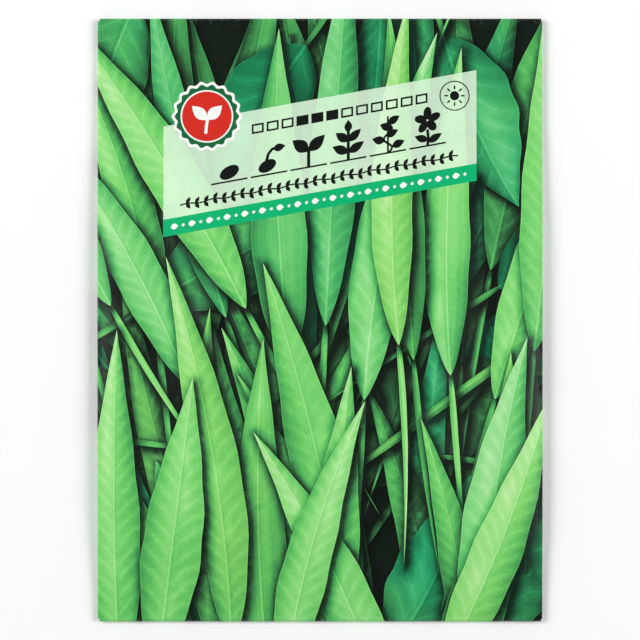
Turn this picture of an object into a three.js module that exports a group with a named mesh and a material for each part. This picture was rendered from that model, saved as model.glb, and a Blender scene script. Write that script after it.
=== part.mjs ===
// A filled paper seed packet, lying on its back with its printed front up, in millimetres.
// One die-cut sheet is folded round the seeds: the front panel, the back panel folded under its left
// edge, a narrow seam flap folded under its right edge, and a bottom and a top flap folded under last.
// Three thin strips of glue hold it shut, and the loose bean seeds lie between the panels.
// +X is to the right of the print, +Y towards the top flap and +Z up, out of the front.
// The origin is on the surface that the packet lies on, under the middle of its outline.
import * as THREE from "three";

// Driving dimensions of the folded packet
const width = 118;
const height = 160;
const paper = 0.2;
const glueThickness = 0.1;
const glueClearance = 0.08;
const seamFlapWidth = 12;
const bottomFlapDepth = 15;
const topFlapDepth = 22;
const backPanelShort = 1.4; // how far the back panel's free edge stops short of the right fold
const swellHeight = 6.6; // how far the seeds lift the front off the back
const sideLift = 1.3; // how far the side folds stand off the surface, beside the seeds

// Heights of the layers' middle surfaces above the back panel's middle surface
const gluedPitch = paper + glueThickness + 2 * glueClearance;
const seamAbove = gluedPitch;
const frontAbove = seamAbove + 2 * paper;
const flapAbove = -gluedPitch;
const backAtRest = gluedPitch + paper / 2; // with the flaps' printed faces on the surface

// Seeds
const seedCount = 45;
const seedLength = 9.2;
const seedWidth = 6.6;
const seedThickness = 5.6;
const seedPitch = 10.1;
const seedJitter = 0.35;
const seedClearance = 0.15;

const clamp = (value) => Math.min(1, Math.max(0, value));

// 0 before from, 1 after to, with a smooth ramp between
const ramp = (from, to, value) => {
  const t = clamp((value - from) / (to - from));
  return t * t * (3 - 2 * t);
};

// Middle surface of the back panel: flat on the surface under the seeds, a layer higher over the
// flaps, and curled up a little towards the side folds.
function backHeight(x, y) {
  const side = Math.abs(x);
  const belly = (1 - ramp(40, 54, side)) * ramp(-60, -48, y) * (1 - ramp(40, 52, y));
  const curl = ramp(42, 58.4, side) * ramp(-78, -45, y) * (1 - ramp(15, 60, y));
  return backAtRest - gluedPitch * belly + sideLift * curl;
}

// How far the seeds push the front panel up from its place on the empty packet
function swell(x, y) {
  const across = 1 - Math.min(1, Math.abs(x) / 58.4) ** 4;
  const fromBottom = 1 - (1 - clamp((y + 79) / 46)) ** 2.4;
  const toTop = 1 - ramp(5, 62, y);
  return swellHeight * across * fromBottom * toTop;
}

const frontPoint = (x, y) => new THREE.Vector3(x, y, backHeight(x, y) + frontAbove + swell(x, y));

// A fold turns the sheet under the front panel's edge on a half circle. above is the folded panel's
// height over the back panel, reach how far that panel runs from the fold, and its ends are cut in
// by mitre over the first run millimetres, so that they stay inside the packet's outline.
function makeFold(halfOutline, above, reach, mitre, run) {
  const radius = (frontAbove - above) / 2;
  return { at: halfOutline - radius - paper / 2, radius, above, reach, mitre, run };
}
const folds = {
  left: makeFold(width / 2, 0, width - paper - backPanelShort, 0.9, 5),
  right: makeFold(width / 2, seamAbove, seamFlapWidth, 5, seamFlapWidth),
  bottom: makeFold(height / 2, flapAbove, bottomFlapDepth, 5, bottomFlapDepth),
  top: makeFold(height / 2, flapAbove, topFlapDepth, 6, topFlapDepth),
};
const halfLength = { left: folds.top.at, right: folds.top.at, bottom: folds.left.at, top: folds.left.at };

// Middle surface of the sheet past a fold, given as (out, along): out is measured away from the
// front panel and along runs beside the fold. past is the distance beyond the half circle.
function foldedPoint(name, turn, past, along) {
  const fold = folds[name];
  const sign = name === "left" || name === "bottom" ? -1 : 1;
  const upright = name === "left" || name === "right";
  const at = (out, beside) => (upright ? [sign * out, beside] : [beside, sign * out]);
  const cut = along * (1 - (fold.mitre / halfLength[name]) * Math.min(1, past / fold.run));
  if (turn < Math.PI) {
    const [x, y] = at(fold.at, along);
    const centre = backHeight(x, y) + frontAbove - fold.radius;
    const [px, py] = at(fold.at + fold.radius * Math.sin(turn), along);
    return new THREE.Vector3(px, py, centre + fold.radius * Math.cos(turn));
  }
  const [x, y] = at(fold.at - past, cut);
  return new THREE.Vector3(x, y, backHeight(x, y) + fold.above);
}

// Lines across the flat sheet. A line over the front panel has at, and a line past a fold has fold,
// turn and past.
const spaced = (from, to, steps) =>
  Array.from({ length: steps + 1 }, (_, i) => from + ((to - from) * i) / steps);
const arcSteps = 4;
const pastFold = (fold, panelSteps) => [
  ...spaced(0, Math.PI, arcSteps)
    .slice(1)
    .map((turn) => ({ fold, turn, past: 0 })),
  ...spaced(0, folds[fold].reach, panelSteps)
    .slice(1)
    .map((past) => ({ fold, turn: Math.PI, past })),
];
const columns = [
  ...pastFold("left", 14).reverse(),
  ...spaced(-folds.left.at, folds.right.at, 20).map((at) => ({ at })),
  ...pastFold("right", 3),
];
const rows = [
  ...pastFold("bottom", 3).reverse(),
  ...spaced(-folds.bottom.at, folds.top.at, 28).map((at) => ({ at })),
  ...pastFold("top", 4),
];

function sheetPoint(column, row) {
  if (column.fold) return foldedPoint(column.fold, column.turn, column.past, row.at);
  if (row.fold) return foldedPoint(row.fold, row.turn, row.past, column.at);
  return frontPoint(column.at, row.at);
}

// A grid of points as triangles. Where pointAt gives nothing, the sheet has been cut away.
function gridSheet(columnCount, rowCount, pointAt) {
  const points = [];
  const triangles = [];
  const index = Array.from({ length: columnCount }, (_, i) =>
    Array.from({ length: rowCount }, (_, j) => {
      const point = pointAt(i, j);
      return point ? points.push(point) - 1 : -1;
    }),
  );
  for (let i = 0; i + 1 < columnCount; i++) {
    for (let j = 0; j + 1 < rowCount; j++) {
      const [a, b, c, d] = [index[i][j], index[i + 1][j], index[i + 1][j + 1], index[i][j + 1]];
      if (Math.min(a, b, c, d) >= 0) triangles.push([a, b, c], [a, c, d]);
    }
  }
  return { points, triangles };
}

// A closed solid of the given thickness round a sheet of triangles
function thicken({ points, triangles }, thickness) {
  const normals = points.map(() => new THREE.Vector3());
  const borders = new Map();
  for (const corners of triangles) {
    const [a, b, c] = corners.map((i) => points[i]);
    const normal = b.clone().sub(a).cross(c.clone().sub(a));
    corners.forEach((from, k) => {
      const to = corners[(k + 1) % 3];
      normals[from].add(normal);
      if (!borders.delete(`${to} ${from}`)) borders.set(`${from} ${to}`, [from, to]);
    });
  }
  const under = points.length;
  const offset = (side) => points.map((p, i) => p.clone().addScaledVector(normals[i].normalize(), side));
  const vertices = [...offset(thickness / 2), ...offset(-thickness / 2)];
  const faces = [
    ...triangles,
    ...triangles.map(([a, b, c]) => [a + under, c + under, b + under]),
    ...[...borders.values()].flatMap(([a, b]) => [
      [b, a, a + under],
      [b, a + under, b + under],
    ]),
  ];
  const geometry = new THREE.BufferGeometry();
  geometry.setAttribute("position", new THREE.Float32BufferAttribute(vertices.flatMap((v) => [...v]), 3));
  geometry.setIndex(faces.flat());
  geometry.computeVertexNormals();
  return geometry;
}

// The packet's sheet: the front panel, and on each side of it what is folded under
const isFolded = (line) => Boolean(line.fold);
const sheet = gridSheet(columns.length, rows.length, (i, j) =>
  isFolded(columns[i]) && isFolded(rows[j]) ? null : sheetPoint(columns[i], rows[j]),
);
const packetGeometry = thicken(sheet, paper);

// A strip of glue between the back panel and a flap, over a rectangle of the packet's outline
function glueStrip(fromX, toX, fromY, toY, flap) {
  const xs = spaced(fromX, toX, Math.max(2, Math.round((toX - fromX) / 12)));
  const ys = spaced(fromY, toY, Math.max(2, Math.round((toY - fromY) / 8)));
  const middle = (x, y) => new THREE.Vector3(x, y, backHeight(x, y) + flap / 2);
  return thicken(gridSheet(xs.length, ys.length, (i, j) => middle(xs[i], ys[j])), glueThickness);
}

// A bean seed: an oval flattened from side to side, bent round its eye, with its middle at the origin
function seedGeometry() {
  const geometry = new THREE.SphereGeometry(1, 8, 6);
  geometry.rotateZ(Math.PI / 2);
  const place = geometry.attributes.position;
  const bend = seedWidth / 12;
  for (let i = 0; i < place.count; i++) {
    const [x, y, z] = [place.getX(i), place.getY(i), place.getZ(i)];
    const across = y * (seedWidth / 2 - bend) + bend * (2 * x * x - 1);
    place.setXYZ(i, (x * seedLength) / 2, across, (z * seedThickness) / 2);
  }
  geometry.computeVertexNormals();
  return geometry;
}

// A repeatable stream of numbers from 0 to 1
function numberStream(seed) {
  let state = seed;
  return () => {
    state = (state * 1664525 + 1013904223) % 4294967296;
    return state / 4294967296;
  };
}

// Seeds lie in one layer in staggered rows, filled from the bottom, wherever the front leaves room
function seedPlaces() {
  const draw = numberStream(1906);
  const room = seedThickness + 2 * seedClearance + paper;
  const reach = seedLength / 2;
  const fits = (x, y) =>
    [[reach, 0], [-reach, 0], [0, reach], [0, -reach]].every(
      ([dx, dy]) => frontAbove + swell(x + dx, y + dy) > room,
    );
  const rowPitch = (seedPitch * Math.sqrt(3)) / 2;
  const places = [];
  for (let row = 0; row < halfLength.left / rowPitch; row++) {
    for (let step = -5; step <= 5; step++) {
      const x = (step + (row % 2) / 2) * seedPitch + (draw() - 0.5) * 2 * seedJitter;
      const y = row * rowPitch - halfLength.left * 0.65 + (draw() - 0.5) * 2 * seedJitter;
      const turn = draw() * Math.PI * 2;
      if (fits(x, y)) places.push({ x, y, turn });
    }
  }
  return places.slice(0, seedCount);
}

const printedPaper = new THREE.MeshStandardMaterial({ color: 0x72cc6f, roughness: 0.45, metalness: 0 });
const beanSkin = new THREE.MeshStandardMaterial({ color: 0xe9e2cf, roughness: 0.35, metalness: 0 });
const driedGlue = new THREE.MeshStandardMaterial({ color: 0xe8e0c4, roughness: 0.3, metalness: 0 });

const packet = new THREE.Group();
function addPiece(name, geometry, material) {
  const mesh = new THREE.Mesh(geometry, material);
  mesh.name = name;
  packet.add(mesh);
  return mesh;
}

addPiece("paper_packet", packetGeometry, printedPaper);
addPiece("glue_side_seam", glueStrip(48.5, 56, -72, 72, seamAbove), driedGlue);
addPiece("glue_bottom_flap", glueStrip(-50, 50, -77, -67.5, flapAbove), driedGlue);
addPiece("glue_top_flap", glueStrip(-49, 49, 60.5, 77, flapAbove), driedGlue);

seedPlaces().forEach(({ x, y, turn }, i) => {
  const seed = addPiece(`seed_${String(i + 1).padStart(2, "0")}`, seedGeometry(), beanSkin);
  seed.position.set(x, y, backHeight(x, y) + (paper + seedThickness) / 2 + seedClearance);
  seed.rotation.z = turn;
});

export default packet;
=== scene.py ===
# %% [markdown]
# # A filled paper seed packet
#
# The packed model is the fixed frame: one folded paper sheet, three strips of glue and loose bean
# seeds. This lesson dresses it. The sheet is made again with a finer mesh that carries the print, the
# seeds get a smooth form, and every surface gets a material of its own. Nothing is moved or resized.

# %% Load the frame
import math
import random
from typing import NamedTuple

import bmesh
import bpy
import numpy as np
from mathutils import Matrix, Vector
from mathutils.geometry import delaunay_2d_cdt


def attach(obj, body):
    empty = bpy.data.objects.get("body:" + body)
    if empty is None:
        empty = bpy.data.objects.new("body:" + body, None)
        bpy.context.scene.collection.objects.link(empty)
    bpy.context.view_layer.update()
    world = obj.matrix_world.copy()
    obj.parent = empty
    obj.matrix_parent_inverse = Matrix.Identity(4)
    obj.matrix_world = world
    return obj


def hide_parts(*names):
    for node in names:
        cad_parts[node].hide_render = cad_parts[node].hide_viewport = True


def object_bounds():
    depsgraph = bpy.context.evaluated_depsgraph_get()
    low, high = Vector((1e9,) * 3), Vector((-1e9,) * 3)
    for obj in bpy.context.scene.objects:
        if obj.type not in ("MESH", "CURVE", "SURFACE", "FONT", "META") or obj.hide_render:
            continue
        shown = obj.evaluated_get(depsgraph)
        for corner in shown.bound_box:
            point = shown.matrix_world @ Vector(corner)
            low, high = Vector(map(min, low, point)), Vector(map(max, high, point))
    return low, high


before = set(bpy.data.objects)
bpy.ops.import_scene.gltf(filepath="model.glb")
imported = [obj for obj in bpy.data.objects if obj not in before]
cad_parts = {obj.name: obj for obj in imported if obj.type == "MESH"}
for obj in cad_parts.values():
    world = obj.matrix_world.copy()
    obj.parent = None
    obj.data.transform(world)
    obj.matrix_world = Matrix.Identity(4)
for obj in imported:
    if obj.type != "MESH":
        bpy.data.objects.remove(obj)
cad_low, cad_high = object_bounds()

MM = 0.001
print("CAD box in mm:", [round(v / MM, 2) for v in (*cad_low, *cad_high)])

# %% [markdown]
# ## The folded sheet's shape
#
# The paper could be a cloth simulation, but a glued packet has sharp folds at exact places, and the
# frame already settles its form. So the same height formulas are used again here, in millimetres: a
# back panel whose middle lies flat, a front panel that the seeds push up, and a half circle at every
# fold.

# %% Sizes of the sheet
WIDTH = (cad_high.x - cad_low.x) / MM
HEIGHT = (cad_high.y - cad_low.y) / MM
PAPER = 0.2
GLUED_PITCH = 0.46  # from one sheet's middle to the next, with glue between them
FRONT_ABOVE = GLUED_PITCH + 2 * PAPER  # front over back where no seeds lie between
BACK_OVER_FLAPS = GLUED_PITCH + PAPER / 2  # the end flaps lie on the surface, under the back
print(f"folded packet {WIDTH:.1f} x {HEIGHT:.1f} mm")


# %% Height of the back panel and swell of the front
SWELL_HEIGHT, SWELL_HALF_WIDTH = 6.6, 58.4
SWELL_BOTTOM, SWELL_RISE = -79, 46  # where the swell starts, and how much further up it is full
SWELL_END = (5, 62)
SIDE_POWER, RISE_POWER = 4, 2.4  # how suddenly it ends at the sides and starts at the foot
SIDE_LIFT = 1.3  # how far the curl lifts the side folds
BELLY_SIDE, BELLY_FOOT, BELLY_HEAD = (40, 54), (-60, -48), (40, 52)
CURL_SIDE, CURL_FOOT, CURL_HEAD = (42, SWELL_HALF_WIDTH), (-78, -45), (15, 60)


def ramp(low, high, value):
    """0 below low, 1 above high, and a smooth ramp between."""
    t = np.clip((value - low) / (high - low), 0, 1)
    return t * t * (3 - 2 * t)


def back_height(x, y):
    """The back panel's belly rests on the surface, and its sides curl up to the folds."""
    side = abs(x)
    belly = (1 - ramp(*BELLY_SIDE, side)) * ramp(*BELLY_FOOT, y) * (1 - ramp(*BELLY_HEAD, y))
    curl = ramp(*CURL_SIDE, side) * ramp(*CURL_FOOT, y) * (1 - ramp(*CURL_HEAD, y))
    return BACK_OVER_FLAPS - GLUED_PITCH * belly + SIDE_LIFT * curl


def swell(x, y):
    """How far the seeds push the front panel up."""
    across = 1 - np.minimum(1, abs(x) / SWELL_HALF_WIDTH) ** SIDE_POWER
    from_bottom = 1 - (1 - np.clip((y - SWELL_BOTTOM) / SWELL_RISE, 0, 1)) ** RISE_POWER
    return SWELL_HEIGHT * across * from_bottom * (1 - ramp(*SWELL_END, y))


full_height = back_height(0, -25) + FRONT_ABOVE + swell(0, -25) + PAPER / 2
print(f"front stands {full_height:.2f} mm high")

# %% [markdown]
# ## Where the seeds lie
#
# The seeds' places are read from the frame's own nodes. A bean's two ends are the two points that are
# furthest apart, and its hollow side is the side towards which the ends lie from its middle. The same
# places tell the front panel where something holds it up: between them the paper sinks a little, and
# along the folds, where it has to turn from round to flat, it stands in shallow buckles.


# %% Read the seeds' places
def seed_place(node):
    """Middle, long direction and hollow side of one bean in the frame, in millimetres."""
    points = np.array([v.co for v in node.data.vertices]) / MM
    apart = np.linalg.norm(points[:, None] - points[None], axis=2)
    first, last = np.unravel_index(apart.argmax(), apart.shape)
    along = Vector(points[first] - points[last]).normalized()
    box_middle = (points.min(axis=0) + points.max(axis=0)) / 2
    hollow = Vector((points[first] + points[last]) / 2 - points.mean(axis=0))
    hollow = (hollow - along * hollow.dot(along)).normalized()
    ends = Vector((points[first] + points[last]) / 2)
    return ends, along, hollow, Vector(box_middle)


seed_nodes = sorted(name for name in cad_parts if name.startswith("seed_"))
seed_places = {name: seed_place(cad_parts[name]) for name in seed_nodes}
seed_middles = np.array([place[3][:2] for place in seed_places.values()])
print(len(seed_nodes), "seeds, the first at", [round(v, 1) for v in seed_places[seed_nodes[0]][3]])


# %% Height of the front panel
SAG = 0.75  # how far the front sinks between the seeds
SEED_REACH = 4.2  # how far round its middle a seed holds the front up
BUCKLE = 0.45  # height of the waves along the folds
SIDE_WAVE, FOOT_WAVE = 2.9, 3.3  # millimetres for each radian of a wave
SIDE_UNEVEN, FOOT_UNEVEN = 1.6, 1.4  # radians by which a wave comes early or late
SIDE_START, SIDE_END, SIDE_FOOT = (28, 46), (52, 58), (-78, -66)  # where the side waves rise and fade
FOOT_START, FOOT_END, FOOT_SIDE = (-79, -73), (-68, -50), (40, 56)


def held_up(x, y):
    """1 over the middle of a seed, 0 well away from all of them."""
    away = np.hypot(seed_middles[:, :1] - x, seed_middles[:, 1:] - y)
    return np.exp(-((away.min(axis=0) / SEED_REACH) ** 2))


def buckles(x, y):
    """Shallow waves in the paper along the side folds and the bottom fold, 0 at the folds."""
    side = ramp(*SIDE_START, abs(x)) * (1 - ramp(*SIDE_END, abs(x))) * ramp(*SIDE_FOOT, y)
    foot = (1 - ramp(*FOOT_END, y)) * ramp(*FOOT_START, y) * (1 - ramp(*FOOT_SIDE, abs(x)))
    along_side = np.sin(y / SIDE_WAVE + SIDE_UNEVEN * np.sin(y / 13 + x / 40))
    along_foot = np.sin(x / FOOT_WAVE + FOOT_UNEVEN * np.sin(x / 15))
    return BUCKLE * (side * (1 + along_side) + foot * (1 + along_foot)) / 2


def front_height(x, y):
    full = swell(x, y)
    fullness = full / SWELL_HEIGHT
    sunk = SAG * fullness * (1 - held_up(x, y)) + buckles(x, y) * fullness**0.5
    return back_height(x, y) + FRONT_ABOVE + full - sunk


print("front over a seed:", front_height(*seed_middles[20]).round(2), "mm")

# %% [markdown]
# ## The folds
#
# A packet starts as a flat die-cut blank: the front with the back panel on its left, a narrow seam
# flap on its right and a flap at either end. Everything printed is drawn on that flat blank, and one
# function says where each point of the blank ends up. A fold takes the first stretch past its line
# round a half circle, and what is left after that lies under the front.


# %% Folds and the flat blank
class Fold:
    """One fold line of the front panel, and the paper past it.

    Axis and sign say on which side it is, 0 for X and 1 for Y. Above is how high the paper past the
    fold lies over the back panel, and reach how far it goes under the front. Its ends are cut in by
    the mitre, along a slant as long as the run.
    """

    def __init__(self, axis, sign, above, reach, mitre, run):
        half_outline = (WIDTH, HEIGHT)[axis] / 2
        self.axis, self.sign, self.above, self.reach = axis, sign, above, reach
        self.mitre, self.run = mitre, run
        self.radius = (FRONT_ABOVE - above) / 2
        self.at = half_outline - self.radius - PAPER / 2
        self.arc = math.pi * self.radius

    def edge(self, past=0.0):
        """Place on the blank of the line that lies this far past the half circle."""
        return self.sign * (self.at + self.arc + past)


left = Fold(axis=0, sign=-1, above=0, reach=WIDTH - PAPER - 1.4, mitre=0.9, run=5)
right = Fold(axis=0, sign=1, above=GLUED_PITCH, reach=12, mitre=5, run=12)
bottom = Fold(axis=1, sign=-1, above=-GLUED_PITCH, reach=15, mitre=5, run=15)
top = Fold(axis=1, sign=1, above=-GLUED_PITCH, reach=22, mitre=6, run=22)
folds = [left, right, bottom, top]
print("blank in mm:", [round(f.edge(f.reach), 1) for f in folds])


# %% From the flat blank to the folded packet
ROUNDING = 1e-3  # a point this close to a fold line is still on the front


def folded(points):
    """Where points of the flat blank lie on the folded packet, at the middle of the paper."""
    places = np.column_stack([points, front_height(points[:, 0], points[:, 1])])
    for fold in reversed(folds):
        distance = fold.sign * points[:, fold.axis] - fold.at
        moved = distance > ROUNDING
        distance, beside = distance[moved], points[moved, 1 - fold.axis]
        turn = np.minimum(distance / fold.radius, math.pi)
        past = np.maximum(0.0, distance - fold.arc)
        half_length = (top.at, left.at)[fold.axis]
        cut = 1 - fold.mitre / half_length * np.minimum(1, past / fold.run)
        place = np.empty((len(distance), 2))
        place[:, fold.axis] = fold.sign * (fold.at + fold.radius * np.sin(turn) - past)
        place[:, 1 - fold.axis] = beside * cut
        over = place.copy()
        over[:, fold.axis] = fold.sign * fold.at
        round_fold = back_height(*over.T) + FRONT_ABOVE - fold.radius + fold.radius * np.cos(turn)
        under_front = back_height(*place.T) + fold.above
        height = np.where(turn < math.pi, round_fold, under_front)
        places[moved] = np.column_stack([place, height])
    return places


corner = np.array([[-left.at, -bottom.at]])
print("bottom left corner:", folded(corner).round(2).tolist())

# %% [markdown]
# ## Printed motifs as outlines
#
# A print could be an image, but here it is drawn with outlines that are cut into the blank's mesh, so
# its edges stay sharp at any size. Every motif is a closed outline on the flat blank. The leaves are
# one formula: a middle line that bends sideways, and a half width that swells, tapers and ripples.


# %% Helpers for outlines
def turned(points, angle, x=0.0, y=0.0):
    c, s = math.cos(angle), math.sin(angle)
    return [(x + c * px - s * py, y + s * px + c * py) for px, py in points]


def oval(x, y, half_length, half_width, angle=0.0, sides=28):
    turns = [2 * math.pi * i / sides for i in range(sides)]
    round_points = [(half_length * math.cos(a), half_width * math.sin(a)) for a in turns]
    return turned(round_points, angle, x, y)


def box(x, y, half_width, half_height):
    corners = [(-1, -1), (1, -1), (1, 1), (-1, 1)]
    return [(x + half_width * i, y + half_height * j) for i, j in corners]


def blade(x, y, angle, length, width, steps=9):
    """A small pointed leaf that starts at x, y."""
    ts = [i / steps for i in range(steps + 1)]
    side = [(length * t, width / 2 * math.sin(math.pi * t**0.85)) for t in ts]
    return turned(side + [(px, -py) for px, py in side[-2:0:-1]], angle, x, y)


def stroke(points, width):
    """A pen line of even width through the points."""
    sides = ([], [])
    for i, (x, y) in enumerate(points):
        before, after = points[max(0, i - 1)], points[min(len(points) - 1, i + 1)]
        dx, dy = after[0] - before[0], after[1] - before[1]
        size = math.hypot(dx, dy) / (width / 2)
        sides[0].append((x - dy / size, y + dx / size))
        sides[1].append((x + dy / size, y - dx / size))
    return sides[0] + sides[1][::-1]


print("a blade outline has", len(blade(0, 0, 0, 10, 4)), "points")


# %% The leaf
RIPPLE = 0.03  # how much a margin waves in and out, as a share of the half width
RIPPLE_TURNS = 31.0  # radians of that wave from foot to tip


class Leaf:
    """One printed leaf: start, heading, length, half width and how far its tip bends sideways.

    A low taper puts the widest place near the start. Tone is how light the leaf is and tint runs
    from yellowish, -1, to bluish, 1. Style, from 0 to 1, chooses the veins and the way that the
    leaf turns in the light.
    """

    def __init__(self, start, heading, length, half_width, bend, tone, tint, style, taper):
        self.x, self.y = start
        self.heading, self.length, self.half_width, self.bend = heading, length, half_width, bend
        self.tone, self.tint, self.style, self.taper = tone, tint, style, taper

    def half_width_at(self, t):
        t = np.clip(t, 0, 1)
        ripple = 1 + RIPPLE * np.sin(RIPPLE_TURNS * t + 2 * math.pi * self.style)
        return self.half_width * np.sin(np.pi * t**self.taper) * ripple

    def outline(self, out=0.0):
        """The leaf's outline, or the line that runs this far outside it."""
        steps = 26 + round(1.5 * self.half_width)  # a broad leaf needs more points to look round
        ts = [0.5 - 0.5 * math.cos(math.pi * i / steps) for i in range(steps + 1)]
        middle = [(self.length * t + out * (2 * t - 1), self.bend * t * t) for t in ts]
        wide = [float(self.half_width_at(t)) + out * math.sin(math.pi * t) for t in ts]
        one = [(px, py + w) for (px, py), w in zip(middle, wide)]
        other = [(px, py - w) for (px, py), w in zip(middle, wide)][-2:0:-1]
        return turned(one + other, self.heading, self.x, self.y)

    def own_place(self, points):
        """Millimetres along and across the leaf, for points of the blank."""
        dx, dy = points[:, 0] - self.x, points[:, 1] - self.y
        c, s = math.cos(self.heading), math.sin(self.heading)
        return c * dx + s * dy, c * dy - s * dx

    def outside(self, points):
        """Roughly how many millimetres each point is outside the leaf, negative inside it."""
        along, across = self.own_place(points)
        t = along / self.length
        beyond = np.maximum(0, np.maximum(-along, along - self.length))
        inside_t = np.clip(t, 0, 1)
        sideways = np.abs(across - self.bend * inside_t**2) - self.half_width_at(t)
        return np.where(beyond > 0, np.hypot(beyond, np.maximum(0, sideways)), sideways)


example = Leaf((0, 0), 1.5, 100, 6, 4, 0.5, 0, 0.5, 0.8)
print("leaf outline points:", len(example.outline()))

# %% [markdown]
# ## The picture on the front
#
# The picture is a thicket of leaves: dark ones far behind, long ones that hang from above or rise from
# the middle and the foot in several depths, a few broad bluish ones, and thin stems that cross them.
# Scattering them by hand would take long, so every tier is one rule with a seeded random draw, and the
# picture is the same each run.


# %% The tiers of leaves
class Tier(NamedTuple):
    """One depth of the thicket: its leaves stand side by side and fan out."""

    count: int
    start: float  # height on the packet where the leaves start
    up: int  # 1 for leaves that rise, -1 for leaves that hang
    fan: float  # how much the outer leaves lean outwards
    wander: float  # how far a heading strays, in radians
    lengths: tuple
    half_widths: tuple
    tones: tuple
    taper: float
    tints: tuple = (-1, 1)
    styles: tuple = (0, 1)


TIERS = [
    Tier(9, -40, 1, 1.6, 0.9, (52, 68), (14.0, 18.0), (0.30, 0.44), 0.62),
    Tier(9, 96, -1, 0.7, 0.40, (80, 110), (5.0, 7.5), (0.42, 0.58), 0.85),
    Tier(15, 0, 1, 0.7, 0.35, (76, 100), (5.0, 7.5), (0.38, 0.56), 0.80),
    Tier(14, -98, 1, 0.7, 0.35, (90, 120), (5.0, 7.5), (0.38, 0.54), 0.80),
    Tier(6, -30, 1, 2.4, 1.2, (110, 150), (0.8, 1.2), (0.54, 0.66), 0.50),
    Tier(13, -8, 1, 0.6, 0.36, (80, 104), (5.0, 7.4), (0.60, 0.80), 0.75),
    Tier(12, -97, 1, 0.65, 0.36, (80, 105), (5.2, 7.4), (0.56, 0.70), 0.80),
    Tier(11, -98, 1, 0.5, 0.36, (74, 112), (5.6, 8.2), (0.62, 0.78), 0.75),
]
BROAD_TIERS = [
    Tier(3, 86, -1, 0.9, 0.8, (48, 60), (10.0, 13.0), (0.46, 0.58), 0.72, (0.6, 1), (0.5, 1)),
    Tier(4, -86, 1, 0.9, 0.8, (48, 60), (10.0, 13.0), (0.46, 0.60), 0.72, (0.6, 1), (0.5, 1)),
    Tier(3, 10, 1, 1.0, 1.5, (40, 52), (9.0, 12.0), (0.44, 0.56), 0.72, (0.5, 1), (0.5, 1)),
]
BROAD_OVER = 4  # the broad leaves are painted over this many tiers
print(sum(tier.count for tier in TIERS + BROAD_TIERS), "leaves and stems in the tiers")

# %% Draw the leaves
SIDE_SCATTER, FOOT_SCATTER = 0.6, 14  # in half places of the row, and in millimetres
FAN_LEAN = 0.6  # radians at the row's ends, for a fan of 1
LEAF_BEND = 0.2  # as a share of the length
STALK_LENGTH, STALK_HALF_WIDTH, STALK_BEND, STALK_TAPER = 60, 0.85, 6, 0.5
STALK_INTO_LEAF = 2  # a stalk starts this far up its leaf
STEM_HALF_WIDTH = 2.0  # what is narrower than this has no stalk of its own


def draw_tier(draw, tier):
    """Leaves side by side in a fan, each blade with its stalk, painted in a shuffled order."""
    made = []
    for i in range(tier.count):
        middle = 2 * (i + 0.5) / tier.count - 1
        side = middle + draw.uniform(-SIDE_SCATTER, SIDE_SCATTER) / tier.count
        turn = math.pi / 2 - tier.fan * side * FAN_LEAN + draw.uniform(-tier.wander, tier.wander)
        heading = tier.up * turn
        foot = (side * WIDTH / 2, tier.start + draw.uniform(-FOOT_SCATTER, FOOT_SCATTER))
        length = draw.uniform(*tier.lengths)
        half_width = draw.uniform(*tier.half_widths)
        bend = length * draw.uniform(-LEAF_BEND, LEAF_BEND)
        tone, tint, style = (draw.uniform(*limits) for limits in (tier.tones, tier.tints, tier.styles))
        made.append([Leaf(foot, heading, length, half_width, bend, tone, tint, style, tier.taper)])
        if half_width > STEM_HALF_WIDTH:
            reach = (STALK_INTO_LEAF * math.cos(heading), STALK_INTO_LEAF * math.sin(heading))
            joined = (foot[0] + reach[0], foot[1] + reach[1])
            size = (STALK_LENGTH, STALK_HALF_WIDTH, draw.uniform(-STALK_BEND, STALK_BEND))
            made[-1].insert(0, Leaf(joined, heading + math.pi, *size, tone, 0, style, STALK_TAPER))
    draw.shuffle(made)
    return [part for group in made for part in group]


draw = random.Random(14)
groups = [draw_tier(draw, tier) for tier in TIERS]
groups[BROAD_OVER:BROAD_OVER] = [draw_tier(draw, tier) for tier in BROAD_TIERS]
leaves = [leaf for group in groups for leaf in group]
print(len(leaves), "leaves and stalks drawn")

# %% [markdown]
# ## The label on the front
#
# The label is a tilted panel of pale ink, thin enough for the leaves to show through, over a solid
# green strip. Its corners follow one slanted grid, so a motif placed on that grid tilts with it. The
# motifs are plain signs of the kind that any garden packet carries: how a seed grows, a bar of months,
# a sun and a round seal.

# %% Inks and the label's slanted grid
LABEL_HALF_WIDTH = 41.5
LABEL_TOP = 58.8  # height of the top edge's middle
LABEL_SLOPE = 15.0 / 83.0
PANEL_DEPTH = 24.8
STRIP_DEPTH = 4.6
SIGN_SCALE = 1.15
MONTHS_DOWN, SIGNS_DOWN, VINE_DOWN = 5.0, 18.0, 21.8  # rows, down from the top edge


def srgb(red, green, blue, cover=1.0):
    """An ink from its 0 to 255 screen colour, as the linear colour that shaders use."""
    parts = [c / 255 for c in (red, green, blue)]
    linear = [c / 12.92 if c <= 0.04045 else ((c + 0.055) / 1.055) ** 2.4 for c in parts]
    return (*linear, cover)


VEIL = srgb(224, 251, 222, 0.78)
STRIP_GREEN = srgb(2, 180, 112)
INK_DARK = srgb(10, 16, 12)
INK_WHITE = srgb(250, 252, 248)
SEAL_RED = srgb(214, 44, 32)
SEAL_GREEN = srgb(18, 104, 58)


def on_label(points):
    """From (across, down from the top edge) to the blank."""
    return [(s, LABEL_TOP + LABEL_SLOPE * s - d) for s, d in points]


def upright_on_label(points, across, down):
    """A sign drawn with its own +Y up, set on the label with its foot at across, down."""
    return on_label([(across + x, down - y) for x, y in points])


print("ink example:", [round(v, 3) for v in SEAL_RED])


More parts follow.
